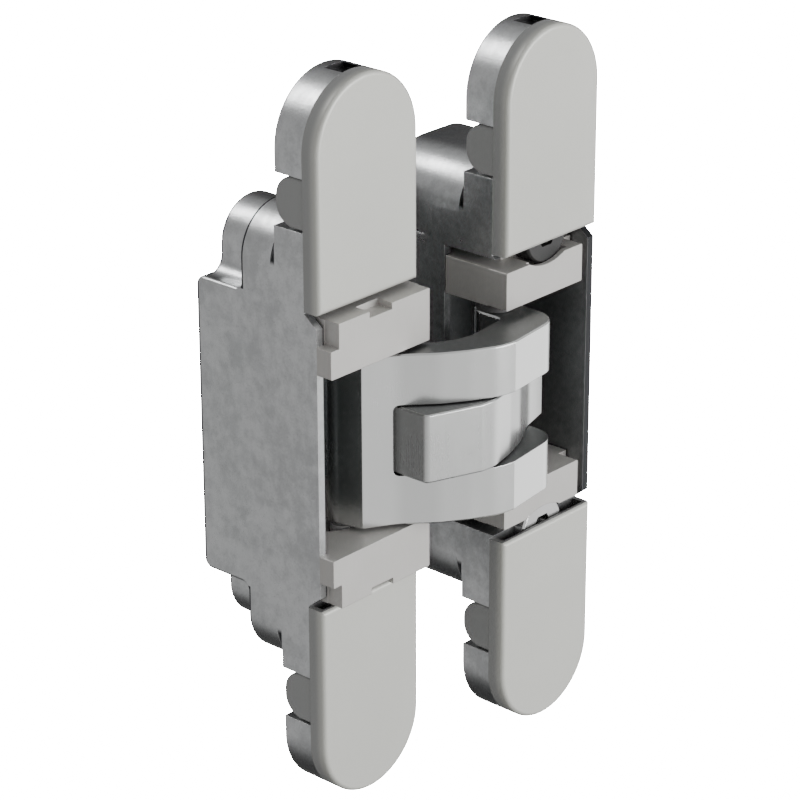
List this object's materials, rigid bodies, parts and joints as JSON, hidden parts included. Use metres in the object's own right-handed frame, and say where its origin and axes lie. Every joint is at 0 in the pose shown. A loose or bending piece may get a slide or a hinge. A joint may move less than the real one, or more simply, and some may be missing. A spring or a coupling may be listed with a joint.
{
  "type": "concealed door hinge",
  "caption": "Concealed door hinge shown open flat: stepped die-cast bodies with round-ended covers, joined by folding fork and tongue arms whose far ends slide in curved slots.",
  "frame": {"origin": "midway between the frame side's two fixing holes, on the back face of its flange", "axes": "+Z along the hinge's length, +Y into the frame's and the door's mortises, away from the faces that show, +X from the frame side to the door side with the hinge open"},
  "size_m": [0.0754, 0.0478, 0.1518],
  "materials": {
    "shell_metal": "die-cast zinc alloy, as cast, satin grey",
    "cover_paint": "moulded cap with a satin pearl-grey paint, darker unpainted legs",
    "carrier_metal": "die-cast zinc alloy, satin silver paint",
    "arm_metal": "steel arm, satin nickel",
    "pin_steel": "ground steel",
    "bush_bronze": "sintered bronze",
    "washer_steel": "bright steel",
    "sleeve_plastic": "pale acetal",
    "adjuster_chrome": "bright chrome plate",
    "screw_steel": "zinc-plated steel"
  },
  "bodies": {
    "frame_side": {"frame_shell": "shell_metal", "frame_upper_cover": "cover_paint", "frame_lower_cover": "cover_paint", "frame_upper_carrier": "carrier_metal", "frame_lower_carrier": "carrier_metal", "frame_pivot_pin": "pin_steel", "frame_clamp_screws": "screw_steel"},
    "tongue": {"tongue_arm": "arm_metal", "tongue_pivot_bush": "bush_bronze", "centre_bush": "bush_bronze", "tongue_slide_pin": "pin_steel", "tongue_slide_sleeves": "sleeve_plastic"},
    "fork": {"fork_arm": "arm_metal", "centre_pin": "pin_steel", "fork_pivot_bushes": "bush_bronze", "fork_slide_pin": "pin_steel", "fork_slide_sleeves": "sleeve_plastic"},
    "door_carriage": {"door_upper_carrier": "carrier_metal", "door_lower_carrier": "carrier_metal", "door_pivot_pin": "pin_steel", "door_pivot_washers": "washer_steel"},
    "door_side": {"door_shell": "shell_metal", "door_upper_cover": "cover_paint", "door_lower_cover": "cover_paint"},
    "upper_adjuster": {"door_upper_adjuster": "adjuster_chrome"},
    "lower_adjuster": {"door_lower_adjuster": "adjuster_chrome"}
  },
  "joints": [
    {"name": "tongue_swing", "type": "hinge", "parent": "frame_side", "child": "tongue", "pos_m": [0.0097, -0.0079, 0], "axis": [0, 0, -1], "range_deg": [0, 110.84]},
    {"name": "fork_swing", "type": "hinge", "parent": "tongue", "child": "fork", "pos_m": [0.02234, -0.02142, 0], "axis": [0, 0, -1], "range_deg": [-54.72, 0]},
    {"name": "door_swing", "type": "hinge", "parent": "fork", "child": "door_carriage", "pos_m": [0.0377, -0.0111, 0], "axis": [0, 0, -1], "range_deg": [0, 123.88]},
    {"name": "height_adjust", "type": "slide", "parent": "door_carriage", "child": "door_side", "axis": [0, 0, 1], "range_m": [-0.002, 0.002]},
    {"name": "upper_adjuster_turn", "type": "hinge", "parent": "door_side", "child": "upper_adjuster", "pos_m": [0.0474, -0.0114, 0.0324], "axis": [0, -1, 0], "range_deg": [-26.4, 26.4]},
    {"name": "lower_adjuster_turn", "type": "hinge", "parent": "door_side", "child": "lower_adjuster", "pos_m": [0.0474, -0.0114, -0.0324], "axis": [0, -1, 0], "range_deg": [-26.4, 26.4]}
  ],
  "couplings": [
    {"joint": "fork_swing", "follows": "tongue_swing", "ratio": -0.49368},
    {"joint": "door_swing", "follows": "tongue_swing", "ratio": 1.1176},
    {"joint": "upper_adjuster_turn", "follows": "height_adjust", "rad_per_m": 230.28},
    {"joint": "lower_adjuster_turn", "follows": "height_adjust", "rad_per_m": 230.28}
  ]
}
